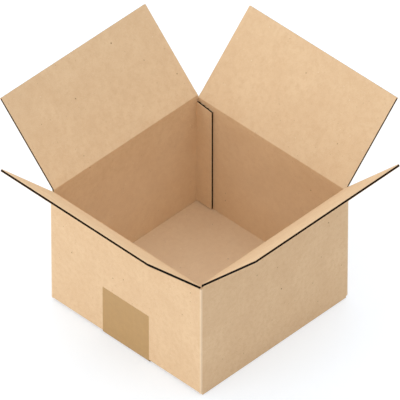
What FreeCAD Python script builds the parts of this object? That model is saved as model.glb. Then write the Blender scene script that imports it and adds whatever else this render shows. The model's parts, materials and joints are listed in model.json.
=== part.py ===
import FreeCAD, Part
import Sketcher
import os
import re
from FreeCAD import Vector

# An open regular slotted carton of single-wall corrugated board.
# One sheet makes the four walls, the glue tab and the four bottom flaps.
# Four top flaps stand open, and a strip of tape holds the bottom seam shut.
# Origin at the middle of the underside, +Z up, millimetres.
# The front wall faces -Y and the right wall faces +X.

doc = FreeCAD.newDocument("open_carton")

# Sizes: the driving ones first, then those worked out from them
SIZES = [
    ("inside_width", "228.6"),
    ("inside_tall", "147"),
    ("board", "3"),
    ("liner", "0.45"),
    ("flute_pitch", "6.35"),
    ("flute_wall", "0.4"),
    ("crushed_board", "1"),
    ("score_taper", "3"),
    ("fold_clear", "0.1"),
    ("layer_clear", "0.2"),
    ("seam_gap", "0.6"),
    ("slot_half", "3.2"),
    ("bend_radius", "3"),
    ("cut_hollow", "1"),
    ("tab_reach", "24"),
    ("tab_bevel", "4.5"),
    ("tab_bend", "1.8"),
    ("tab_clear", "1"),
    ("flap_open_angle", "44"),
    ("tape_thick", "0.1"),
    ("tape_width", "72"),
    ("tape_leg", "63"),
    ("half", "=inside_width / 2 + board"),
    ("inside_half", "=inside_width / 2"),
    ("outside", "=2 * half"),
    ("floor_split", "=tape_thick + board + layer_clear"),
    ("floor_top", "=floor_split + board"),
    ("hinge_low", "=floor_top + inside_tall + board"),
    ("hinge_high", "=hinge_low + board + layer_clear"),
    ("score_zone", "=crushed_board + score_taper"),
    ("panel_half", "=half - slot_half"),
    ("flap_reach", "=half - seam_gap / 2"),
    ("flute_count", "=floor(2 * panel_half / flute_pitch)"),
    ("flute_run", "=(flute_count - 1) * flute_pitch"),
    ("flute_first", "=-flute_run / 2 - flute_pitch / 4"),
    ("cell_half", "=flute_pitch / 2 - flute_wall"),
    ("cell_low", "=liner + flute_wall"),
    ("cell_high", "=board - liner - flute_wall"),
    ("hollow_half", "=panel_half - cut_hollow"),
    ("tape_foot", "=floor_split + liner"),
    ("tape_out", "=half + tape_thick"),
]

sheet = doc.addObject("Spreadsheet::Sheet", "Sizes")
for row, (alias, content) in enumerate(SIZES, start=1):
    sheet.set("A%d" % row, alias)
    sheet.set("B%d" % row, content)
    sheet.setAlias("B%d" % row, alias)
doc.recompute()


def bound(text):
    # An expression over the sheet's names, ready to bind
    return re.sub(r"[a-z_]{4,}", lambda word: "Sizes." + word.group(), text)


def now(text):
    # The present value of such an expression
    return float(sheet.evalExpression(bound(text)))


def new_body(name, place=None, turn=None):
    # A body named as its file, stood in the frame by the sheet
    body = doc.addObject("PartDesign::Body", name)
    body.Label = name
    if place:
        spot = "create(<<placement>>; create(<<vector>>; %s); create(<<rotation>>; %s))"
        body.setExpression("Placement", spot % (bound(place), bound(turn)))
    return body


def new_sketch(body, name, plane_role, shift=None):
    # A sketch on an origin plane of its own body, moved along the plane's normal
    sketch = body.newObject("Sketcher::SketchObject", name)
    plane = [f for f in body.Origin.OriginFeatures if f.Role == plane_role][0]
    sketch.AttachmentSupport = [(plane, "")]
    sketch.MapMode = "FlatFace"
    if shift:
        sketch.setExpression(".AttachmentOffset.Base.z", bound(shift))
    return sketch


def outline(sketch, corners):
    # A closed outline with each corner bound to the sheet both ways
    points = [Vector(now(across), now(along), 0) for across, along in corners]
    first = sketch.GeometryCount
    count = len(points)
    for i in range(count):
        sketch.addGeometry(Part.LineSegment(points[i], points[(i + 1) % count]), False)
    for i in range(count):
        following = first + (i + 1) % count
        sketch.addConstraint(Sketcher.Constraint("Coincident", first + i, 2, following, 1))
    for i, (across, along) in enumerate(corners):
        for kind, text, axis in (("DistanceX", across, -2), ("DistanceY", along, -1)):
            if text == "0":
                sketch.addConstraint(Sketcher.Constraint("PointOnObject", first + i, 1, axis))
                continue
            rule = Sketcher.Constraint(kind, -1, 1, first + i, 1, now(text))
            index = sketch.addConstraint(rule)
            sketch.setExpression("Constraints[%d]" % index, bound(text))


def mirrored(corners):
    # The same outline on the other side of the upright axis
    return [(opposite(across), along) for across, along in reversed(corners)]


def opposite(text):
    # The negative of an expression
    return "0" if text == "0" else "-(" + text + ")"


def swept(body, kind, name, sketch, length, reverse=False, both_ways=False):
    # A pad or pocket of a sketch over a bound length
    feature = body.newObject("PartDesign::" + kind, name)
    feature.Profile = sketch
    feature.setExpression("Length", bound(length))
    if both_ways:
        feature.SideType = "Symmetric"
    feature.Reversed = reverse
    sketch.Visibility = False
    return feature


def rounded(body, name, base, picks, radius):
    # A fillet on the straight edges whose middles are the picked points
    doc.recompute()
    names = []
    for x, y, z in picks:
        spot = Vector(now(x), now(y), now(z))
        for i, edge in enumerate(base.Shape.Edges, start=1):
            middle = (edge.Vertexes[0].Point + edge.Vertexes[-1].Point) * 0.5
            if (middle - spot).Length < 0.01:
                names.append("Edge%d" % i)
    if len(names) != len(picks):
        raise RuntimeError("an edge to round was not found: " + name)
    fillet = body.newObject("PartDesign::Fillet", name)
    fillet.Base = (base, names)
    fillet.setExpression("Radius", bound(radius))
    return fillet


# Carton body: walls, glue tab and bottom flaps in one folded sheet
carton = new_body("carton_body")

# The wall ring, with the raw end of the back panel lapped over the joint's fold
ring = new_sketch(carton, "ring_plan", "XY_Plane", "floor_split")
outline(ring, [
    ("-half", "-half"),
    ("half", "-half"),
    ("half", "half"),
    ("-half", "half"),
    ("-half", "half - liner"),
    ("-half + cut_hollow", "half - liner"),
    ("-half + cut_hollow", "inside_half + liner"),
    ("-half", "inside_half + liner"),
])
outline(ring, [
    ("-inside_half", "-inside_half"),
    ("inside_half", "-inside_half"),
    ("inside_half", "inside_half"),
    ("-inside_half", "inside_half"),
])
walls = swept(carton, "Pad", "walls", ring, "hinge_low - floor_split")
middle_height = "(hinge_low + floor_split) / 2"
wall_bends = rounded(carton, "wall_bends", walls, [
    ("half", "-half", middle_height),
    ("half", "half", middle_height),
    ("-half", "-half", middle_height),
], "bend_radius")

# The side walls' scores lie one board higher, so their flaps close on top
rim = new_sketch(carton, "side_rim_section", "XZ_Plane")
right_rim = [
    ("inside_half", "hinge_low - score_zone"),
    ("half", "hinge_low - score_zone"),
    ("half", "hinge_high"),
    ("inside_half", "hinge_high"),
]
outline(rim, right_rim)
outline(rim, mirrored(right_rim))
side_rims = swept(carton, "Pad", "side_rims", rim, "2 * panel_half", both_ways=True)


def score_section(hinge):
    # The inner face crushed toward the outer liner, then cut back to the score line
    return [
        ("half", hinge),
        ("half - crushed_board", hinge + " - crushed_board"),
        ("inside_half", hinge + " - score_zone"),
        ("inside_half - board", hinge + " - score_zone"),
        ("inside_half - board", hinge + " + board"),
        ("half", hinge + " + board"),
    ]


side_score = new_sketch(carton, "side_score_section", "XZ_Plane")
outline(side_score, score_section("hinge_high"))
outline(side_score, mirrored(score_section("hinge_high")))
swept(carton, "Pocket", "side_scores", side_score, "2 * panel_half", both_ways=True)

end_score = new_sketch(carton, "end_score_section", "YZ_Plane")
outline(end_score, score_section("hinge_low"))
outline(end_score, mirrored(score_section("hinge_low")))
swept(carton, "Pocket", "end_scores", end_score, "2 * panel_half", both_ways=True)

# Outer bottom flaps, folded in from the side walls and met at the seam
outer = new_sketch(carton, "outer_flap_section", "XZ_Plane")
outer_right = [
    ("seam_gap / 2", "tape_thick"),
    ("half", "tape_thick"),
    ("half", "floor_top"),
    ("inside_half", "floor_top"),
    ("inside_half", "tape_thick + board"),
    ("seam_gap / 2", "tape_thick + board"),
]
outline(outer, outer_right)
outline(outer, mirrored(outer_right))
outer_flaps = swept(carton, "Pad", "outer_bottom_flaps", outer, "2 * panel_half", both_ways=True)
outer_bends = rounded(carton, "outer_flap_bends", outer_flaps, [
    ("half", "0", "tape_thick"),
    ("-half", "0", "tape_thick"),
], "bend_radius")

# The raw side edges of the outer bottom flaps, hollow between their liners
outer_edge = new_sketch(carton, "outer_flap_edge", "YZ_Plane")
edge_hollow = [
    ("hollow_half", "tape_thick + liner"),
    ("panel_half + cut_hollow", "tape_thick + liner"),
    ("panel_half + cut_hollow", "tape_thick + board - liner"),
    ("hollow_half", "tape_thick + board - liner"),
]
outline(outer_edge, edge_hollow)
outline(outer_edge, mirrored(edge_hollow))
swept(carton, "Pocket", "outer_flap_hollows", outer_edge, "2 * inside_half", both_ways=True)

# Inner bottom flaps, folded in from the front and back walls above the outer ones
inner = new_sketch(carton, "inner_flap_section", "YZ_Plane")
inner_back = [
    ("seam_gap / 2", "floor_split"),
    ("half", "floor_split"),
    ("half", "floor_top"),
    ("seam_gap / 2", "floor_top"),
]
outline(inner, inner_back)
outline(inner, mirrored(inner_back))
swept(carton, "Pad", "inner_bottom_flaps", inner, "2 * panel_half", both_ways=True)

# The bend between each end wall and its bottom flap
inner_bend = new_sketch(carton, "inner_bend_section", "YZ_Plane")
bend_back = [
    ("half", "floor_split + bend_radius"),
    ("half - 0.134 * bend_radius", "floor_split + 0.5 * bend_radius"),
    ("half - 0.5 * bend_radius", "floor_split + 0.134 * bend_radius"),
    ("half - bend_radius", "floor_split"),
    ("half - bend_radius", "floor_split - layer_clear"),
    ("half + layer_clear", "floor_split - layer_clear"),
    ("half + layer_clear", "floor_split + bend_radius"),
]
outline(inner_bend, bend_back)
outline(inner_bend, mirrored(bend_back))
swept(carton, "Pocket", "inner_flap_bends", inner_bend, "2 * panel_half", both_ways=True)

# Glue tab on the back wall's inner face, its upper edge bevelled
tab = new_sketch(carton, "tab_outline", "XZ_Plane", "-inside_half")
outline(tab, [
    ("-inside_half - board / 4", "floor_top + tab_clear"),
    ("-inside_half + tab_reach", "floor_top + tab_clear"),
    ("-inside_half + tab_reach", "hinge_low - score_zone - tab_bevel"),
    ("-inside_half - board / 4", "hinge_low - score_zone"),
])
swept(carton, "Pad", "glue_tab", tab, "board")
tab_cut = new_sketch(carton, "tab_edge_section", "XY_Plane", "floor_top + tab_clear")
outline(tab_cut, [
    ("-inside_half + tab_reach - cut_hollow", "inside_half - board + liner"),
    ("-inside_half + tab_reach + cut_hollow", "inside_half - board + liner"),
    ("-inside_half + tab_reach + cut_hollow", "inside_half - liner"),
    ("-inside_half + tab_reach - cut_hollow", "inside_half - liner"),
])
swept(carton, "Pocket", "tab_edge_hollow", tab_cut, "inside_tall", reverse=True)

# Where the side wall bends into the tab, behind the raw end of the back panel
tab_fold = new_sketch(carton, "tab_fold_section", "XY_Plane")
outline(tab_fold, [
    ("-half", "inside_half - tab_bend"),
    ("-half + tab_bend", "inside_half"),
    ("-half - layer_clear", "inside_half"),
    ("-half - layer_clear", "inside_half - tab_bend"),
])
swept(carton, "Pocket", "tab_fold_groove", tab_fold, "hinge_high + board", reverse=True)


# Top flaps: each lies along its own Y from the score line, outer face down
def top_flap(name, place, turn):
    flap = new_body(name, place, turn)
    section = new_sketch(flap, name + "_section", "YZ_Plane")
    outline(section, [
        ("fold_clear", "0"),
        ("flap_reach", "0"),
        ("flap_reach", "board"),
        ("score_zone", "board"),
        ("fold_clear + crushed_board", "crushed_board"),
    ])
    swept(flap, "Pad", name + "_board", section, "2 * panel_half", both_ways=True)

    # Raw side edges, cut along a flute
    side = new_sketch(flap, name + "_side_cut", "XZ_Plane", "-flap_reach")
    right_side = [
        ("hollow_half", "liner"),
        ("panel_half + cut_hollow", "liner"),
        ("panel_half + cut_hollow", "board - liner"),
        ("hollow_half", "board - liner"),
    ]
    outline(side, right_side)
    outline(side, mirrored(right_side))
    swept(flap, "Pocket", name + "_side_hollows", side, "flap_reach - score_zone", reverse=True)

    # One pitch of the fluted medium leaves a hollow above it and one below
    flute = new_sketch(flap, name + "_flute_section", "XZ_Plane", "-flap_reach")
    outline(flute, [
        ("flute_first", "cell_low"),
        ("flute_first + cell_half", "board - liner"),
        ("flute_first - cell_half", "board - liner"),
    ])
    outline(flute, [
        ("flute_first + flute_pitch / 2", "cell_high"),
        ("flute_first + flute_pitch / 2 - cell_half", "liner"),
        ("flute_first + flute_pitch / 2 + cell_half", "liner"),
    ])
    one = swept(flap, "Pocket", name + "_flute", flute, "flap_reach - score_zone", reverse=True)
    row = flap.newObject("PartDesign::LinearPattern", name + "_flutes")
    row.Originals = [one]
    row.Direction = (flute, ["H_Axis"])
    row.setExpression("Length", bound("flute_run"))
    row.setExpression("Occurrences", bound("flute_count"))
    flap.Tip = row
    return flap


flaps = [
    top_flap("top_flap_front", "0; -half; hinge_low", "180; 0; 90 - flap_open_angle"),
    top_flap("top_flap_right", "half; 0; hinge_high", "270; 0; 90 - flap_open_angle"),
    top_flap("top_flap_back", "0; half; hinge_low", "0; 0; 90 - flap_open_angle"),
    top_flap("top_flap_left", "-half; 0; hinge_high", "90; 0; 90 - flap_open_angle"),
]

# Sealing tape along the bottom seam and up the front and back walls
tape = new_body("sealing_tape")
strip = new_sketch(tape, "tape_section", "YZ_Plane")
outline(strip, [
    ("-tape_out", "tape_leg"),
    ("-tape_out", "tape_foot"),
    ("-panel_half", "0"),
    ("panel_half", "0"),
    ("tape_out", "tape_foot"),
    ("tape_out", "tape_leg"),
    ("half", "tape_leg"),
    ("half", "tape_foot"),
    ("panel_half", "tape_thick"),
    ("-panel_half", "tape_thick"),
    ("-half", "tape_foot"),
    ("-half", "tape_leg"),
])
swept(tape, "Pad", "tape_strip", strip, "tape_width", both_ways=True)

doc.recompute()

for thing in doc.Objects:
    if "Invalid" in thing.State or "Error" in thing.State:
        raise RuntimeError("not rebuilt: " + thing.Name)
for body in [carton] + flaps + [tape]:
    if body.Shape.isNull() or not body.Shape.isValid() or len(body.Shape.Solids) != 1:
        raise RuntimeError("not one valid solid: " + body.Name)

# A channelled flap weighs in lighter than its plain board
plain = 2 * now("panel_half") * now("flap_reach") * now("board")
for flap in flaps:
    if not 0.3 * plain < flap.Shape.Volume < 0.8 * plain:
        raise RuntimeError("the flutes are not cut: " + flap.Name)

os.makedirs("parts", exist_ok=True)
for body in [carton] + flaps + [tape]:
    body.Shape.exportStep("parts/%s.step" % body.Label)
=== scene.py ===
import json
import math

import bpy
from mathutils import Matrix, Vector

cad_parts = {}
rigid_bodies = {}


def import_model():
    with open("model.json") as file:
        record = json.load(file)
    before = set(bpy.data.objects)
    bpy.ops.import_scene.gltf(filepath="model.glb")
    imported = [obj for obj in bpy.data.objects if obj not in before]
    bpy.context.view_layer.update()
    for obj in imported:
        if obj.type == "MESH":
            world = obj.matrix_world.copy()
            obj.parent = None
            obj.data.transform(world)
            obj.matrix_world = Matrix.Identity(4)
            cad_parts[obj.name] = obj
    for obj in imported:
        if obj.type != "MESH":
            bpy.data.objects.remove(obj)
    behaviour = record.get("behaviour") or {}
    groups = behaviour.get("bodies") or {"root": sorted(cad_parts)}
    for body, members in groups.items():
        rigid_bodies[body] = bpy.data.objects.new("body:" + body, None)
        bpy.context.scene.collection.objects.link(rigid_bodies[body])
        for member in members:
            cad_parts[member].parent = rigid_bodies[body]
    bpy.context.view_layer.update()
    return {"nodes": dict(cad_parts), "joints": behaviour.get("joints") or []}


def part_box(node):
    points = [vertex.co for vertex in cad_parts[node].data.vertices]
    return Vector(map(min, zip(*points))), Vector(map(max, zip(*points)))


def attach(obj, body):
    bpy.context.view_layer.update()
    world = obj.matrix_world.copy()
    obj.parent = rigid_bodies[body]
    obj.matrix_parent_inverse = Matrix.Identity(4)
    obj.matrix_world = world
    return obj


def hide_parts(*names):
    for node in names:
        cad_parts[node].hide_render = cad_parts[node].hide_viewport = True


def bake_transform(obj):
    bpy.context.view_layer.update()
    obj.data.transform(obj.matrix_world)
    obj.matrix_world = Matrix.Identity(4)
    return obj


bl_info = {
    "name": "Open corrugated carton",
    "version": (1, 0, 0),
    "blender": (4, 5, 0),
    "location": "View3D > Sidebar > Carton",
    "description": "Dresses an open slotted carton: folded board, top flaps, tape and stage",
    "category": "Object",
}

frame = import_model()
MM = 0.001

BODY_LOW, BODY_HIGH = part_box("carton_body")
TAPE_LOW, TAPE_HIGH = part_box("sealing_tape")
JOINTS = {joint["child"]: joint for joint in frame["joints"]}
FLAP_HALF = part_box("top_flap_front")[1].x
SIDES = ("front", "right", "back", "left")


def linear(code):
    """A hex colour as linear light."""
    parts = [int(code[i:i + 2], 16) / 255 for i in (1, 3, 5)]
    return tuple(p / 12.92 if p <= 0.04045 else ((p + 0.055) / 1.055) ** 2.4 for p in parts)


def length_of(name, words, millimetres):
    """A length property, kept in metres."""
    return bpy.props.FloatProperty(
        name=name, description=words, default=millimetres * MM, subtype="DISTANCE", unit="LENGTH"
    )


def colour_of(name, words, code):
    """A colour property written as hex."""
    return bpy.props.FloatVectorProperty(
        name=name, description=words, default=linear(code), subtype="COLOR", min=0, max=1
    )


def angle_of(name, words, degrees):
    """An angle property written in degrees."""
    return bpy.props.FloatProperty(
        name=name, description=words, default=math.radians(degrees), subtype="ANGLE"
    )


def level_of(name, words, level):
    """A plain number property."""
    return bpy.props.FloatProperty(name=name, description=words, default=level)


def way_of(name, words, way):
    """A direction or a place property."""
    return bpy.props.FloatVectorProperty(name=name, description=words, default=way, subtype="XYZ")


class CartonBoard(bpy.types.PropertyGroup):
    """Sizes and colours of the corrugated board."""

    thickness: length_of("Board", "Thickness over both liners", 3.0)
    liner: length_of("Liner", "Thickness of one liner", 0.3)
    medium: length_of("Medium", "Thickness of the fluted paper", 0.3)
    pitch: length_of("Flute pitch", "Distance from crest to crest", 6.35)
    open_depth: length_of("Open depth", "How far the flutes stand open at a cut across them", 1.2)
    side_inset: length_of("Side inset", "How far the core lies back at a cut along the flutes", 0.3)
    bend_radius: length_of("Bend radius", "Outer radius of a bend", 1.3)
    tab_start: length_of("Tab start", "Where the glue tab leaves the left wall", -114.7)
    tab_end: length_of("Tab end", "Free edge of the glue tab", -90.3)
    tab_foot: length_of("Tab foot", "Lower end of the glue tab", 7.3)
    tab_top: length_of("Tab top", "Height of the glue tab at the corner", 153.0)
    tab_low: length_of("Tab low", "Height of the glue tab at its free edge", 150.0)
    flap_angle: angle_of("Flap angle", "How far a top flap leans out from upright", 44)
    liner_colour: colour_of("Liner colour", "Colour of the kraft liner", "#E4C6A0")
    shade_colour: colour_of("Mottle colour", "Colour of the denser cloudy patches", "#D8B68F")
    fleck_colour: colour_of("Fleck colour", "Colour of the dark fibres", "#8A6745")
    # The pale colour serves the bleached fibres and also the painted light and highlight on the walls
    pale_fibre_and_light_colour: colour_of("Pale fleck colour", "Colour of the bleached fibres", "#F2E0C6")
    # Painted light: how far the inside of the walls is drawn towards the pale colour, lifting its shade
    inside_light_share: level_of("Inner paleness", "How far the inner liner goes to the pale colour", 0.3)
    medium_colour: colour_of("Medium colour", "Colour of the fluted paper", "#5C4028")
    # Painted shade: this near-black stands for the shade deep in the flutes and along a cut
    shade_core_colour: colour_of("Core colour", "Colour deep in the flutes and along a cut", "#100904")


class CartonTape(bpy.types.PropertyGroup):
    """Sizes and colours of the packing tape."""

    film: length_of("Film", "Thickness of the film and its glue", 0.08)
    tooth: length_of("Tooth", "Height of the dispenser's teeth", 0.7)
    leg: length_of("Leg", "How far the tape runs up each end wall", 68.5)
    colour: colour_of("Film colour", "Colour of the tan film", "#B6915C")


class CartonStage(bpy.types.PropertyGroup):
    """Floor, light and view."""

    azimuth: angle_of("Azimuth", "Direction of the camera round the carton", 44.39)
    elevation: angle_of("Elevation", "Height of the camera above the horizon", 40.77)
    distance: length_of("Camera distance", "From the camera to its target", 14000)
    view_width: length_of("View width", "Width of the frame at the target", 444.2)
    aim_height: length_of("Aim height", "Height of the point looked at", 144.5)
    aim_side: length_of("Aim side", "The point looked at, moved to the camera's right", 0.43)
    floor_colour: colour_of("Floor colour", "Colour of the floor as it lights the carton", "#F2F3F5")
    seen_colour: colour_of("Floor seen", "Colour of the floor as it is seen", "#C6CFD9")
    floor_glow: level_of("Floor glow", "Light added to the floor as it is seen", 0.46)
    bright_side: way_of("Bright side", "Where the sky is brightest", (-0.17, 0.27, 0.95))
    sky_low: level_of("Sky low", "Sky level on the far side", 0.18)
    sky_high: level_of("Sky high", "Sky level on the bright side", 1.33)
    dim_side: way_of("Dim side", "Where the sky is dimmed, low beside the carton", (0.86, 0.0, -0.5))
    dim_level: level_of("Dim level", "Share of the sky left on the dim side", 0.4)
    key_spot: way_of("Key spot", "Where the key lamp stands, in metres", (-0.9, -3.7, 0.4))
    key_size: length_of("Key size", "Side of the key lamp", 2000)
    key_power: bpy.props.FloatProperty(
        name="Key power", description="Power of the key lamp", default=51.0, subtype="POWER", unit="POWER"
    )


# Materials

# A Mix node names its sockets alike for numbers and colours, so those for colours go by place
SHARE, FIRST, SECOND, BLEND = 0, 6, 7, 2


def add_node(tree, kind, feeds=(), **settings):
    """A node with its settings, its values and its links."""
    made = tree.nodes.new(kind)
    for name, value in settings.items():
        setattr(made, name, value)
    for place, value in dict(feeds).items():
        if isinstance(value, bpy.types.NodeSocket):
            tree.links.new(value, made.inputs[place])
        else:
            made.inputs[place].default_value = value
    return made


def new_material(name):
    """A new node material with its tree and its shader."""
    material = bpy.data.materials.new(name)
    material.use_nodes = True
    tree = material.node_tree
    return material, tree, tree.nodes["Principled BSDF"]


def opaque(colour):
    """A colour property as a socket value."""
    return (*colour, 1.0)


def specks(tree, place, cell, reach, share, seed):
    """Specks with soft, uneven rims: one to a cell, in a share of the cells. The seed moves them."""
    rim = reach / cell
    # Their rims waver five times to a cell
    feeds = {"Vector": place, "W": seed, "Scale": 5 / cell, "Detail": 2.0, "Roughness": 0.5}
    warp = add_node(tree, "ShaderNodeTexNoise", feeds, noise_dimensions="4D").outputs[0]
    feeds = {"Value": warp, "From Min": 0.3, "From Max": 0.7, "To Min": -0.5 * rim, "To Max": 0.5 * rim}
    uneven = add_node(tree, "ShaderNodeMapRange", feeds).outputs[0]
    feeds = {0: place, 1: (seed, seed, seed)}
    moved = add_node(tree, "ShaderNodeVectorMath", feeds, operation="ADD").outputs[0]
    cells = add_node(tree, "ShaderNodeTexVoronoi", {"Vector": moved, "Scale": 1 / cell}).outputs
    away = add_node(tree, "ShaderNodeMath", {0: cells["Distance"], 1: uneven}, operation="ADD").outputs[0]
    feeds = {"Value": away, "From Min": 0.4 * rim, "From Max": rim, "To Min": 1.0, "To Max": 0.0}
    spot = add_node(tree, "ShaderNodeMapRange", feeds).outputs[0]
    chance = add_node(tree, "ShaderNodeSeparateColor", {0: cells["Color"]}).outputs[0]
    kept = add_node(tree, "ShaderNodeMath", {0: chance, 1: share}, operation="LESS_THAN").outputs[0]
    return add_node(tree, "ShaderNodeMath", {0: spot, 1: kept}, operation="MULTIPLY").outputs[0]


def paint_light_on_walls(tree, place, base, board):
    """The walls' colour with painted light: the inside drawn paler, and a painted highlight along the outer
    upright bends.
    """
    apart = add_node(tree, "ShaderNodeSeparateXYZ", {0: place}).outputs
    sides = {}
    for axis, name in enumerate("XY"):
        sides[axis] = add_node(tree, "ShaderNodeMath", {0: apart[name]}, operation="ABSOLUTE").outputs[0]
    farther = add_node(tree, "ShaderNodeMath", sides, operation="MAXIMUM").outputs[0]
    nearer = add_node(tree, "ShaderNodeMath", sides, operation="MINIMUM").outputs[0]
    # Painted light: the inside is drawn paler within the walls and above the bottom, and fades out towards
    # the hinges.
    # The last range is the outer corners, where a painted highlight lightens the liner along the upright
    # bends
    half = BODY_HIGH.x
    shares = []
    for value, low, high, first, last in (
        (farther, half - 2 * MM, half - 1 * MM, 1.0, 0.0),
        (apart["Z"], 4 * MM, 5 * MM, 0.0, board.inside_light_share),
        (apart["Z"], 70 * MM, BODY_HIGH.z - 10 * MM, 1.0, 0.0),
        (nearer, half - 3 * MM, half - 0.9 * MM, 0.0, 0.45),
    ):
        feeds = {"Value": value, "From Min": low, "From Max": high, "To Min": first, "To Max": last}
        shares.append(add_node(tree, "ShaderNodeMapRange", feeds).outputs[0])
    # The inner share is painted light lifting the shaded inside; the last share is a painted highlight on
    # the outer corners
    inner, *limits, corner_highlight = shares
    for limit in limits:
        inner = add_node(tree, "ShaderNodeMath", {0: inner, 1: limit}, operation="MULTIPLY").outputs[0]
    for share in (inner, corner_highlight):
        feeds = {SHARE: share, FIRST: base, SECOND: opaque(board.pale_fibre_and_light_colour)}
        base = add_node(tree, "ShaderNodeMix", feeds, data_type="RGBA").outputs[BLEND]
    return base


def kraft_linerboard(name, own_place):
    """Unbleached kraft liner, calendered and left uncoated: matt, cloudy, with flecks of bark and fibre.

    A sheet that bends carries its flat place in an attribute; the walls use object coordinates.
    """
    board = bpy.context.scene.carton_board
    material, tree, shader = new_material(name)
    shade, fleck, pale = opaque(board.shade_colour), opaque(board.fleck_colour), opaque(board.pale_fibre_and_light_colour)
    if own_place:
        place = add_node(tree, "ShaderNodeAttribute", attribute_name="flat_place").outputs["Vector"]
    else:
        place = add_node(tree, "ShaderNodeTexCoord").outputs["Object"]
    # Clouds of denser pulp, broad and small, then fibres of a tenth of a millimetre, drawn near 0.7 mm
    # so that they show, then the sheet's own unevenness
    noises = []
    for size, detail, roughness, seed in (
        (31.25 * MM, 3.0, 0.5, 1.0), (5.882 * MM, 4.0, 0.6, 2.0),
        (0.7143 * MM, 3.0, 0.7, 3.0), (2.381 * MM, 3.0, 0.6, 5.0),
    ):
        feeds = {"Vector": place, "W": seed, "Scale": 1 / size, "Detail": detail, "Roughness": roughness}
        noises.append(add_node(tree, "ShaderNodeTexNoise", feeds, noise_dimensions="4D").outputs[0])
    broad, small, grain, lumps = noises
    layers = []
    for noise, low, high, most, colour in (
        (broad, 0.35, 0.68, 0.5, shade), (small, 0.42, 0.72, 0.8, shade),
        (grain, 0.5, 0.8, 0.45, shade), (grain, 0.5, 0.2, 0.45, pale),
    ):
        feeds = {"Value": noise, "From Min": low, "From Max": high, "To Max": most}
        layers.append((add_node(tree, "ShaderNodeMapRange", feeds).outputs[0], colour))
    # Dark bark specks near 1 mm, about ten to a hand's breadth, finer shives and pale fibres between
    for cell, reach, kept, seed, weight, colour in (
        (13.333 * MM, 0.933 * MM, 0.3, 1.7, 0.85, fleck), (5.263 * MM, 0.526 * MM, 0.3, 4.1, 0.5, fleck),
        (7.692 * MM, 0.692 * MM, 0.25, 7.3, 0.7, pale),
    ):
        feeds = {0: specks(tree, place, cell, reach, kept, seed), 1: weight}
        layers.append((add_node(tree, "ShaderNodeMath", feeds, operation="MULTIPLY").outputs[0], colour))
    base = opaque(board.liner_colour)
    for share, colour in layers:
        feeds = {SHARE: share, FIRST: base, SECOND: colour}
        base = add_node(tree, "ShaderNodeMix", feeds, data_type="RGBA").outputs[BLEND]
    # The walls alone get the painted light: a paler inside and a highlight on the upright bends
    if not own_place:
        base = paint_light_on_walls(tree, place, base, board)
    tree.links.new(base, shader.inputs["Base Color"])
    feeds = {"Value": grain, "From Min": 0.3, "From Max": 0.7, "To Min": 0.82, "To Max": 0.95}
    tree.links.new(add_node(tree, "ShaderNodeMapRange", feeds).outputs[0], shader.inputs["Roughness"])
    shader.inputs["Specular IOR Level"].default_value = 0.2
    height = add_node(tree, "ShaderNodeMath", {0: grain, 1: lumps}, operation="ADD").outputs[0]
    feeds = {"Strength": 0.35, "Distance": 0.1 * MM, "Height": height}
    tree.links.new(add_node(tree, "ShaderNodeBump", feeds).outputs[0], shader.inputs["Normal"])
    return material


def fluting_paper(name, colour, painted_shade):
    """Semichemical fluting medium seen at a cut: rough and without any sheen, its tone blotched with painted
    shade.
    """
    material, tree, shader = new_material(name)
    place = add_node(tree, "ShaderNodeTexCoord").outputs["Object"]
    # Torn fibre ends near 1 mm
    feeds = {"Vector": place, "W": 0.0, "Scale": 1 / (1.111 * MM), "Detail": 4.0, "Roughness": 0.7}
    grain = add_node(tree, "ShaderNodeTexNoise", feeds, noise_dimensions="4D").outputs[0]
    share = add_node(tree, "ShaderNodeMapRange", {"Value": grain, "From Min": 0.35, "From Max": 0.65})
    # Painted shade: the grain blotches the paper's tone with the near-black of the flutes' hollows
    feeds = {SHARE: share.outputs[0], FIRST: opaque(colour), SECOND: opaque(painted_shade)}
    tone = add_node(tree, "ShaderNodeMix", feeds, data_type="RGBA").outputs[BLEND]
    tree.links.new(tone, shader.inputs["Base Color"])
    shader.inputs["Roughness"].default_value = 0.95
    shader.inputs["Specular IOR Level"].default_value = 0.1
    feeds = {"Strength": 0.7, "Distance": 0.2 * MM, "Height": grain}
    tree.links.new(add_node(tree, "ShaderNodeBump", feeds).outputs[0], shader.inputs["Normal"])
    return material


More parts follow.
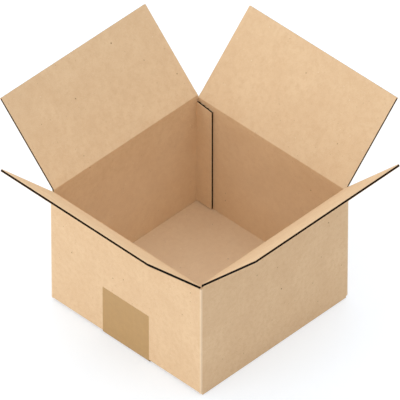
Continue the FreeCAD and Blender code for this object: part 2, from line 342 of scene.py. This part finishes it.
def polypropylene_film(name):
    """Tan packing film, calendered smooth: an even colour, a soft shine and faint stretch lines."""
    tape = bpy.context.scene.carton_tape
    material, tree, shader = new_material(name)
    place = add_node(tree, "ShaderNodeTexCoord").outputs["Object"]
    # Stretch lines run along the strip, 3 mm apart and many times as long
    feeds = {0: place, 1: (1 / (3.03 * MM), 1 / (125 * MM), 1 / (125 * MM))}
    along = add_node(tree, "ShaderNodeVectorMath", feeds, operation="MULTIPLY").outputs[0]
    # Glue that took unevenly, in spots near 6 mm
    noises = []
    for where, scale, detail in ((along, 1.0, 3.0), (place, 1 / (6.25 * MM), 4.0)):
        feeds = {"Vector": where, "W": 0.0, "Scale": scale, "Detail": detail, "Roughness": 0.6}
        noises.append(add_node(tree, "ShaderNodeTexNoise", feeds, noise_dimensions="4D").outputs[0])
    lines, spots = noises
    feeds = {"Value": spots, "From Min": 0.35, "From Max": 0.7, "To Min": 0.96, "To Max": 1.03}
    share = add_node(tree, "ShaderNodeMapRange", feeds).outputs[0]
    feeds = {0: tape.colour, "Scale": share}
    tone = add_node(tree, "ShaderNodeVectorMath", feeds, operation="SCALE").outputs[0]
    tree.links.new(tone, shader.inputs["Base Color"])
    feeds = {"Value": lines, "From Min": 0.3, "From Max": 0.7, "To Min": 0.36, "To Max": 0.5}
    tree.links.new(add_node(tree, "ShaderNodeMapRange", feeds).outputs[0], shader.inputs["Roughness"])
    shader.inputs["IOR"].default_value = 1.49
    feeds = {"Strength": 0.4, "Distance": 0.1 * MM, "Height": lines}
    tree.links.new(add_node(tree, "ShaderNodeBump", feeds).outputs[0], shader.inputs["Normal"])
    return material


def shared_material(name, maker, *facts):
    """A material made once and used again."""
    return bpy.data.materials.get(name) or maker(name, *facts)


def wall_liner():
    """The liner of the walls and the tab."""
    return shared_material("kraft_linerboard_walls", kraft_linerboard, False)


def flap_liner():
    """The liner of the flaps and their folds."""
    return shared_material("kraft_linerboard_flaps", kraft_linerboard, True)


def flutes(board):
    """The fluted paper at a cut, blotched with painted shade."""
    return shared_material("semichemical_fluting", fluting_paper, board.medium_colour, board.shade_core_colour)


def shade_in_flutes(board):
    """The shade deep between the liners."""
    return shared_material("fluting_in_shade", fluting_paper, board.shade_core_colour, board.shade_core_colour)


# Modelling steps


def select_only(made):
    """Leaves one object selected and active."""
    bpy.ops.object.select_all(action="DESELECT")
    made.select_set(True)
    bpy.context.view_layer.objects.active = made


def draw_line(name, points):
    """A new line of edges through the points, left in edit mode."""
    bpy.ops.object.select_all(action="DESELECT")
    bpy.ops.mesh.primitive_plane_add(size=0.01, location=(0, 0, 0))
    made = bpy.context.object
    made.name = name
    made.data.name = name
    bpy.ops.object.mode_set(mode="EDIT")
    bpy.ops.mesh.select_all(action="SELECT")
    bpy.ops.mesh.merge(type="CENTER")
    bpy.ops.transform.translate(value=points[0])
    for before, after in zip(points, points[1:]):
        bpy.ops.mesh.extrude_vertices_move(TRANSFORM_OT_translate={"value": after - before})
    return made


def sweep(made, step):
    """The line drawn out into a sheet along a step."""
    bpy.ops.mesh.select_all(action="SELECT")
    bpy.ops.mesh.extrude_edges_move(TRANSFORM_OT_translate={"value": step})
    bpy.ops.object.mode_set(mode="OBJECT")


def apply_modifier(made, kind, name, **settings):
    """A modifier with its settings, applied at once."""
    bpy.context.view_layer.objects.active = made
    modifier = made.modifiers.new(name, kind)
    for key, value in settings.items():
        setattr(modifier, key, value)
    bpy.ops.object.modifier_apply(modifier=modifier.name)


def face_outwards(made):
    """Turns the faces of a closed mesh outwards."""
    select_only(made)
    bpy.ops.object.mode_set(mode="EDIT")
    bpy.ops.mesh.select_all(action="SELECT")
    bpy.ops.mesh.normals_make_consistent(inside=False)
    bpy.ops.object.mode_set(mode="OBJECT")


def thicken(made, thickness):
    """A sheet given its thickness about its own middle, with its faces outward."""
    apply_modifier(made, "SOLIDIFY", "Thickness", thickness=thickness, offset=0.0, use_even_offset=True)
    face_outwards(made)


def joined(pieces, name):
    """Several meshes made one piece."""
    bpy.ops.object.select_all(action="DESELECT")
    for piece in pieces:
        piece.select_set(True)
    bpy.context.view_layer.objects.active = pieces[0]
    bpy.ops.object.join()
    pieces[0].name = name
    pieces[0].data.name = name
    return pieces[0]


def put_in_place(made, matrix):
    """The mesh carried to its place, its object left at the origin."""
    select_only(made)
    made.matrix_world = matrix
    bpy.ops.object.transform_apply(location=True, rotation=True, scale=True)


def smooth(made, degrees):
    """Soft shading over bends, crisp at edges."""
    select_only(made)
    bpy.ops.object.shade_smooth_by_angle(angle=math.radians(degrees))


def dress(made, material):
    """One material on all of a mesh."""
    made.data.materials.clear()
    made.data.materials.append(material)


# Pieces


def note_flat_place(made, number):
    """Keeps each point's flat place on the sheet as an attribute, so that no two flaps look the same."""
    apart = 400 * MM
    kept = made.data.attributes.new("flat_place", "FLOAT_VECTOR", "POINT")
    for vertex in made.data.vertices:
        kept.data[vertex.index].vector = vertex.co + Vector((number * apart, 0, 0))


def sheet(name, points, width, thickness, material):
    """A paper sheet: a line of points (along, up) swept across a width range and thickened."""
    first, last = width
    made = draw_line(name, [Vector((first, along, up)) for along, up in points])
    sweep(made, (last - first, 0, 0))
    thicken(made, thickness)
    dress(made, material)
    return made


def cut_slant(piece, height, drop, span, filled):
    """Cuts a piece off above a line that falls by a drop over a span."""
    select_only(piece)
    bpy.ops.object.mode_set(mode="EDIT")
    bpy.ops.mesh.select_all(action="SELECT")
    slope = Vector((drop, span, 0)).normalized()
    bpy.ops.mesh.bisect(plane_co=(0, height, 0), plane_no=slope, use_fill=filled, clear_outer=True)
    bpy.ops.object.mode_set(mode="OBJECT")


def shade_core_thickness(board):
    """The thickness of the near-black sheet of painted shade: it bites a little into both liners."""
    bitten = 0.2
    return board.thickness - 2 * (1 - bitten) * board.liner


def flutes_and_shade_core(board, width, length, slant=None):
    """The fluted paper and a near-black sheet of painted shade behind it, over ranges of width and length in
    the board's plane.

    slant is the height, drop and span of a slanting cut, or none for a square one.
    """
    middle = board.thickness / 2
    # The crests bite into the liners, and the flutes end just short of the liners' cut
    bite = 0.05 * MM
    short = 0.15 * MM
    height = middle - board.liner - board.medium / 2 + bite
    count = int((width[1] - width[0] - 2 * board.side_inset) / board.pitch)
    start = (width[0] + width[1] - count * board.pitch) / 2
    steps = 12
    wave = []
    for step in range(steps + 1):
        up = middle + height * math.sin(2 * math.pi * step / steps)
        wave.append(Vector((start + board.pitch * step / steps, length[0], up)))
    medium = draw_line("medium", wave)
    bpy.ops.object.mode_set(mode="OBJECT")
    apply_modifier(
        medium, "ARRAY", "Flutes", count=count, use_relative_offset=False,
        use_constant_offset=True, constant_offset_displace=(board.pitch, 0, 0),
        use_merge_vertices=True, merge_threshold=0.01 * MM,
    )
    bpy.ops.object.mode_set(mode="EDIT")
    sweep(medium, (0, length[1] - length[0] - short, 0))
    if slant:
        cut_slant(medium, *slant, False)
    thicken(medium, board.medium)
    dress(medium, flutes(board))
    # Painted shade: a near-black sheet between the liners, set back from the cuts, stands for the shade in
    # the flutes' hollows
    shade_core_width = (width[0] + board.side_inset, width[1] - board.side_inset)
    shade_core_line = [(length[0], middle), (length[1] - board.open_depth, middle)]
    shade_core = sheet("shade_core", shade_core_line, shade_core_width, shade_core_thickness(board), shade_in_flutes(board))
    if slant:
        height, drop, span = slant
        cut_slant(shade_core, height - board.open_depth, drop, span, True)
    return [medium, shade_core]


class CARTON_OT_dress_body(bpy.types.Operator):
    """Gives the folded sheet its kraft surface and a glue tab of open fluted board"""

    bl_idname = "carton.dress_body"
    bl_label = "Carton body"

    def execute(self, context):
        board = context.scene.carton_board
        walls = self.copy_of_walls()
        self.clear_tab(walls, board)
        self.close_behind_tab(walls, board)
        self.tighten_bends(walls, board)
        dress(walls, wall_liner())
        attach(walls, "carton")
        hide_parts("carton_body")
        tab = self.tab(board)
        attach(tab, "carton")
        return {"FINISHED"}

    def copy_of_walls(self):
        """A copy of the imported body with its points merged."""
        select_only(frame["nodes"]["carton_body"])
        bpy.ops.object.duplicate()
        walls = bpy.context.object
        bpy.ops.object.parent_clear(type="CLEAR_KEEP_TRANSFORM")
        bpy.ops.object.transform_apply(location=True, rotation=True, scale=True)
        walls.name = "carton_walls"
        walls.data.name = "carton_walls"
        bpy.ops.object.mode_set(mode="EDIT")
        bpy.ops.mesh.select_all(action="SELECT")
        bpy.ops.mesh.remove_doubles(threshold=0.01 * MM)
        bpy.ops.mesh.select_all(action="DESELECT")
        bpy.ops.object.mode_set(mode="OBJECT")
        return walls

    def clear_tab(self, walls, board):
        """Takes the plain tab off the copy, where the open one goes."""
        face_of_wall = BODY_HIGH.y - board.thickness
        near, slack = 0.1 * MM, 1 * MM
        bpy.context.tool_settings.mesh_select_mode = (False, False, True)
        gone = 0
        for face in walls.data.polygons:
            centre = face.center
            across = board.tab_start < centre.x < board.tab_end + near
            deep = face_of_wall - board.thickness - near < centre.y < face_of_wall - near / 2
            tall = board.tab_foot - near < centre.z < board.tab_top + slack
            side_of_slot = abs(face.normal.x) > 0.9 and centre.x < board.tab_start + slack
            face.select = across and deep and tall and not side_of_slot
            gone += face.select
        if not gone:
            raise RuntimeError("no face of the glue tab was found on the copy")
        bpy.ops.object.mode_set(mode="EDIT")
        bpy.ops.mesh.delete(type="FACE")
        bpy.ops.object.mode_set(mode="OBJECT")
        bpy.context.tool_settings.mesh_select_mode = (True, False, False)

    def close_behind_tab(self, walls, board):
        """Closes the two walls behind the tab, one flat face to each."""
        inner = BODY_HIGH.x - board.thickness
        for axis in (0, 1):
            bpy.ops.object.mode_set(mode="EDIT")
            bpy.ops.mesh.select_all(action="DESELECT")
            bpy.ops.mesh.select_non_manifold()
            bpy.ops.object.mode_set(mode="OBJECT")
            for part in (*walls.data.edges, *walls.data.polygons):
                part.select = False
            for vertex in walls.data.vertices:
                vertex.select = vertex.select and abs(abs(vertex.co[axis]) - inner) < 0.05 * MM
            bpy.ops.object.mode_set(mode="EDIT")
            bpy.ops.mesh.edge_face_add()
            bpy.ops.object.mode_set(mode="OBJECT")
            face_outwards(walls)

    def tighten_bends(self, walls, board):
        """Draws the outer radius of the upright and lower bends in, as in board creased hard."""
        loose, tight = board.thickness, board.bend_radius
        shift = loose - tight
        reach = BODY_HIGH.x - loose
        # The left and right walls bend under the bottom, the front and back ones a board higher
        outer_bottom = BODY_LOW.z + loose
        inner_bottom = outer_bottom + loose + 0.2 * MM
        bends = ((0, 1, reach), (0, 2, outer_bottom), (1, 2, inner_bottom))
        for vertex in walls.data.vertices:
            spot = vertex.co
            for first, second, level in bends:
                side = math.copysign(1, spot[first])
                turn = -1 if second == 2 else math.copysign(1, spot[second])
                centre = level if second == 2 else turn * level
                out = side * spot[first] - reach
                up = turn * (spot[second] - centre)
                if min(out, up) < -0.01 * MM or abs(math.hypot(out, up) - loose) > 0.05 * MM:
                    continue
                spot[first] = side * (reach + shift + out * tight / loose)
                spot[second] = centre + turn * (shift + up * tight / loose)
        walls.data.update()

    def tab(self, board):
        """The glue tab inside the back wall: its flutes stand open along the slanted top."""
        span = board.tab_end - board.tab_start
        spare = 2 * MM
        bottom, top = board.tab_foot, board.tab_top + spare
        slant = (board.tab_top, board.tab_top - board.tab_low, span)
        half_liner = board.liner / 2
        pieces = []
        for name, level in (("liner_inner", half_liner), ("liner_outer", board.thickness - half_liner)):
            piece = sheet(name, [(bottom, level), (top, level)], (0, span), board.liner, wall_liner())
            cut_slant(piece, *slant, True)
            pieces.append(piece)
        pieces += flutes_and_shade_core(board, (0, span), (bottom, top), slant)
        tab = joined(pieces, "glue_tab")
        place = Matrix(((1, 0, 0), (0, 0, 1), (0, 1, 0))).to_4x4()
        place.translation = Vector((board.tab_start, BODY_HIGH.y - 2 * board.thickness, 0))
        put_in_place(tab, place)
        face_outwards(tab)
        smooth(tab, 35)
        return tab


class CARTON_OT_add_flaps(bpy.types.Operator):
    """Builds the top flaps: two liners over a fluted medium, creased at the score"""

    bl_idname = "carton.add_flaps"
    bl_label = "Top flaps"

    def execute(self, context):
        board = context.scene.carton_board
        for number, side in enumerate(SIDES):
            place, reach = self.place_of(side, board)
            self.build_board(side, board, place, reach, number)
            self.build_fold(side, board, place, number)
        return {"FINISHED"}

    def place_of(self, side, board):
        """The flap's own frame at its score (across, along, through) and its length."""
        joint = JOINTS["flap_" + side]
        hinge = Vector(joint["pos_m"])
        lean = board.flap_angle
        across = -Vector(joint["axis"])
        outward = Vector((hinge.x, hinge.y, 0)).normalized()
        along = outward * math.sin(lean) + Vector((0, 0, 1)) * math.cos(lean)
        normal = across.cross(along)
        place = Matrix((across, along, normal)).transposed().to_4x4()
        place.translation = hinge
        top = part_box("top_flap_" + side)[1].z
        return place, (top - hinge.z - board.thickness * math.sin(lean)) / math.cos(lean)

    def build_board(self, side, board, place, reach, number):
        """The flap's board from score to free edge, just clear of the walls beside it when shut."""
        clear = 0.2 * MM
        half = (-FLAP_HALF + clear, FLAP_HALF - clear)
        low = board.liner / 2
        top = board.thickness - low
        # The knife presses both liners in along the free edge
        pressed, lip = 1.5 * MM, 0.12 * MM
        inner_start, outer_start = 3.0 * MM, 0.6 * MM
        pieces = []
        for name, start, level, dip in (
            ("liner_inner", inner_start, top, -lip), ("liner_outer", outer_start, low, lip),
        ):
            line = [(start, level), (reach - pressed, level), (reach, level + dip)]
            pieces.append(sheet(name, line, half, board.liner, flap_liner()))
        pieces += flutes_and_shade_core(board, half, (inner_start, reach))
        flap = joined(pieces, "flap_board_" + side)
        note_flat_place(flap, number)
        put_in_place(flap, place)
        smooth(flap, 35)
        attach(flap, "flap_" + side)
        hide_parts("top_flap_" + side)

    def build_fold(self, side, board, place, number):
        """The liner carried round the score from wall to flap, over a near-black sheet of painted shade
        where the flutes are crushed.
        """
        thick = board.thickness
        lean = board.flap_angle
        inset = board.side_inset
        # The bent liner lies a hair proud of the flap's own and runs on past the painted shade of the
        # crushed flutes
        proud = 0.02 * MM
        liner_length, shade_core_length = 5.2 * MM, 3.2 * MM
        liner_draw, shade_core_draw = 0.985, 0.95
        bend_line = self.round_the_score(lean, thick - board.liner / 2 + proud, liner_length, liner_draw)
        # The crushed flutes are drawn in the near-black of painted shade
        shade_core_line = self.round_the_score(lean, thick / 2, shade_core_length, shade_core_draw)
        bend = sheet("bend", bend_line, (-FLAP_HALF, FLAP_HALF), board.liner, flap_liner())
        shade_core = sheet(
            "crushed_shade_core", shade_core_line, (-FLAP_HALF + inset, FLAP_HALF - inset),
            shade_core_thickness(board), shade_in_flutes(board),
        )
        fold = joined([bend, shade_core], "score_fold_" + side)
        note_flat_place(fold, number)
        put_in_place(fold, place)
        smooth(fold, 30)
        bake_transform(fold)

    def wall_point(self, down, inward, lean):
        """A point of the wall, as the flap's own along and up."""
        return (
            -down * math.cos(lean) - inward * math.sin(lean),
            -down * math.sin(lean) + inward * math.cos(lean),
        )

    def round_the_score(self, lean, level, length, draw):
        """A line at one level in the board: up the wall, round the score, out along the flap.

        length is how far it runs to each side, and draw brings its middle in over the score.
        """
        line = [self.wall_point(length, level, lean), self.wall_point(level, level, lean)]
        for share in (-2.0, -1.0, -0.75, -0.5, -0.25, 0.0, 0.25, 0.5, 0.75, 1.0, 2.0):
            turn = share * lean / 2
            reach = level / math.cos(lean / 2 - abs(turn))
            if share == 0:
                reach *= draw
            facing = math.pi / 2 + lean / 2 - turn
            line.append((reach * math.cos(facing), reach * math.sin(facing)))
        line += [(level, level), (length, level)]
        return line


class CARTON_OT_add_tape(bpy.types.Operator):
    """Lays the strip of tape along the bottom seam and up both end walls"""

    bl_idname = "carton.add_tape"
    bl_label = "Packing tape"

    def execute(self, context):
        tape = context.scene.carton_tape
        width = TAPE_HIGH.x - TAPE_LOW.x
        teeth = 60
        top = tape.leg - tape.tooth
        strip = draw_line("packing_tape", self.section(top, tape.film / 2))
        sweep(strip, (width, 0, 0))
        self.cut_across(strip, width, teeth)
        self.pull_teeth(strip, top, tape.tooth, width / teeth)
        thicken(strip, tape.film)
        dress(strip, shared_material("polypropylene_packing_film", polypropylene_film))
        smooth(strip, 50)
        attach(strip, "carton")
        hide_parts("sealing_tape")
        return {"FINISHED"}

    def section(self, top, half_film):
        """The strip's middle line: down the front wall, under the bottom and up the back wall."""
        gap = 0.1 * MM
        face = TAPE_HIGH.y - gap + half_film
        # Each point of the bend, in mm: how far in from the wall's face, how far up
        bend = ((0, 12), (0, 3.4), (0.15, 2.6), (0.9, 1.2), (1.9, 0.3))
        side = [(face, top), (face, top - 8 * MM)]
        side += [(face - inward * MM, up * MM) for inward, up in bend]
        side.append((FLAP_HALF, gap - half_film))
        line = [(-y, z) for y, z in side] + side[::-1]
        return [Vector((TAPE_LOW.x, y, z)) for y, z in line]

    def cut_across(self, strip, width, count):
        """Divides the strip across its width, one cut to each side of a tooth."""
        bpy.ops.object.mode_set(mode="EDIT")
        for number in range(1, count):
            spot = TAPE_LOW.x + width * number / count
            bpy.ops.mesh.select_all(action="SELECT")
            bpy.ops.mesh.bisect(plane_co=(spot, 0, 0), plane_no=(1, 0, 0))
        bpy.ops.object.mode_set(mode="OBJECT")

    def pull_teeth(self, strip, top, tooth, step):
        """Raises every other point of both ends into the dispenser's teeth."""
        for part in (*strip.data.edges, *strip.data.polygons):
            part.select = False
        for vertex in strip.data.vertices:
            row = round((vertex.co.x - TAPE_LOW.x) / step)
            vertex.select = vertex.co.z > top - 0.01 * MM and row % 2 == 1
        bpy.ops.object.mode_set(mode="EDIT")
        bpy.ops.transform.translate(value=(0, 0, tooth))
        bpy.ops.object.mode_set(mode="OBJECT")


class CARTON_OT_set_stage(bpy.types.Operator):
    """Sets the white floor, the lights and the camera"""

    bl_idname = "carton.set_stage"
    bl_label = "Stage"

    def execute(self, context):
        stage = context.scene.carton_stage
        self.floor(stage)
        self.sky(context, stage)
        self.key_lamp(context, stage)
        self.camera(context, stage)
        return {"FINISHED"}

    def view_rays(self, tree, *kinds):
        """1 on the rays by which the floor or the sky is seen, 0 on those that light the carton."""
        rays = add_node(tree, "ShaderNodeLightPath").outputs
        seen = rays[kinds[0]]
        for kind in kinds[1:]:
            feeds = {0: seen, 1: rays[kind]}
            seen = add_node(tree, "ShaderNodeMath", feeds, operation="MAXIMUM").outputs[0]
        return seen

    def floor(self, stage):
        """A wide sheet of matt white paper just under the carton, brighter to the eye than as a light."""
        bpy.ops.object.select_all(action="DESELECT")
        width, gap = 60.0, 0.1 * MM
        bpy.ops.mesh.primitive_plane_add(size=width, location=(0, 0, -gap))
        floor = bpy.context.object
        floor.name = "floor"
        bpy.ops.object.transform_apply(location=True, rotation=True, scale=True)
        material, tree, shader = new_material("matt_white_paper")
        shader.inputs["Roughness"].default_value = 1.0
        shader.inputs["Specular IOR Level"].default_value = 0.0
        shader.inputs["Emission Color"].default_value = (1, 1, 1, 1)
        seen = self.view_rays(tree, "Is Camera Ray", "Is Glossy Ray", "Is Transmission Ray")
        glow = add_node(tree, "ShaderNodeMath", {0: seen, 1: stage.floor_glow}, operation="MULTIPLY")
        feeds = {SHARE: seen, FIRST: opaque(stage.floor_colour), SECOND: opaque(stage.seen_colour)}
        base = add_node(tree, "ShaderNodeMix", feeds, data_type="RGBA").outputs[BLEND]
        tree.links.new(base, shader.inputs["Base Color"])
        tree.links.new(glow.outputs[0], shader.inputs["Emission Strength"])
        dress(floor, material)

    def sky(self, context, stage):
        """A white sky, brightest on one side and dimmed low beside the carton, plain white to the eye."""
        world = context.scene.world or bpy.data.worlds.new("studio")
        context.scene.world = world
        world.use_nodes = True
        tree = world.node_tree
        tree.nodes.clear()
        way = add_node(tree, "ShaderNodeTexCoord").outputs["Generated"]
        levels = {}
        for number, (toward, low, high, first, last) in enumerate((
            (stage.bright_side, -1.0, 1.0, stage.sky_low, stage.sky_high),
            (stage.dim_side, 0.25, 0.85, 1.0, stage.dim_level),
        )):
            feeds = {0: way, 1: Vector(toward).normalized()}
            facing = add_node(tree, "ShaderNodeVectorMath", feeds, operation="DOT_PRODUCT").outputs
            feeds = {
                "Value": facing["Value"], "From Min": low, "From Max": high, "To Min": first, "To Max": last}
            levels[number] = add_node(tree, "ShaderNodeMapRange", feeds).outputs[0]
        light = add_node(tree, "ShaderNodeMath", levels, operation="MULTIPLY").outputs[0]
        seen = self.view_rays(tree, "Is Camera Ray", "Is Transmission Ray")
        level = add_node(tree, "ShaderNodeMix", {"Factor": seen, "A": light, "B": 1.0}).outputs[0]
        white = add_node(tree, "ShaderNodeBackground", {"Color": (1, 1, 1, 1), "Strength": level}).outputs[0]
        add_node(tree, "ShaderNodeOutputWorld", {"Surface": white})

    def key_lamp(self, context, stage):
        """One broad lamp in front, aimed at the middle of the walls."""
        data = bpy.data.lights.new("key", "AREA")
        data.size = stage.key_size
        data.energy = stage.key_power
        lamp = bpy.data.objects.new("key", data)
        context.scene.collection.objects.link(lamp)
        lamp.location = stage.key_spot
        aim = Vector((0, 0, 100 * MM)) - Vector(stage.key_spot)
        lamp.rotation_euler = aim.to_track_quat("-Z", "Y").to_euler()

    def camera(self, context, stage):
        """A far camera with a long lens, so that the view is close to parallel."""
        data = bpy.data.cameras.new("view")
        camera = bpy.data.objects.new("view", data)
        context.scene.collection.objects.link(camera)
        context.scene.camera = camera
        turn, rise = stage.azimuth, stage.elevation
        back = Vector((math.sin(turn) * math.cos(rise), -math.cos(turn) * math.cos(rise), math.sin(rise)))
        right = Vector((math.cos(turn), math.sin(turn), 0))
        target = Vector((0, 0, stage.aim_height)) + right * stage.aim_side
        camera.location = target + back * stage.distance
        camera.rotation_euler = (-back).to_track_quat("-Z", "Y").to_euler()
        data.sensor_width = 36
        data.lens = data.sensor_width * stage.distance / stage.view_width
        data.clip_start = 1.0
        data.clip_end = 100.0


class CARTON_PT_panel(bpy.types.Panel):
    """The carton's sizes, colours and steps"""

    bl_idname = "CARTON_PT_panel"
    bl_label = "Open carton"
    bl_space_type = "VIEW_3D"
    bl_region_type = "UI"
    bl_category = "Carton"

    def draw(self, context):
        for group in (context.scene.carton_board, context.scene.carton_tape, context.scene.carton_stage):
            box = self.layout.box()
            for name in group.__annotations__:
                box.prop(group, name)
        for operator in OPERATORS:
            self.layout.operator(operator.bl_idname)


OPERATORS = (CARTON_OT_dress_body, CARTON_OT_add_flaps, CARTON_OT_add_tape, CARTON_OT_set_stage)
CLASSES = (CartonBoard, CartonTape, CartonStage, *OPERATORS, CARTON_PT_panel)


def register():
    for kind in CLASSES:
        bpy.utils.register_class(kind)
    bpy.types.Scene.carton_board = bpy.props.PointerProperty(type=CartonBoard)
    bpy.types.Scene.carton_tape = bpy.props.PointerProperty(type=CartonTape)
    bpy.types.Scene.carton_stage = bpy.props.PointerProperty(type=CartonStage)


def unregister():
    del bpy.types.Scene.carton_stage
    del bpy.types.Scene.carton_tape
    del bpy.types.Scene.carton_board
    for kind in reversed(CLASSES):
        bpy.utils.unregister_class(kind)


def main():
    register()
    bpy.context.scene.view_settings.view_transform = "Standard"
    bpy.ops.carton.dress_body()
    bpy.ops.carton.add_flaps()
    bpy.ops.carton.add_tape()
    bpy.ops.carton.set_stage()


if __name__ == "__main__":
    main()
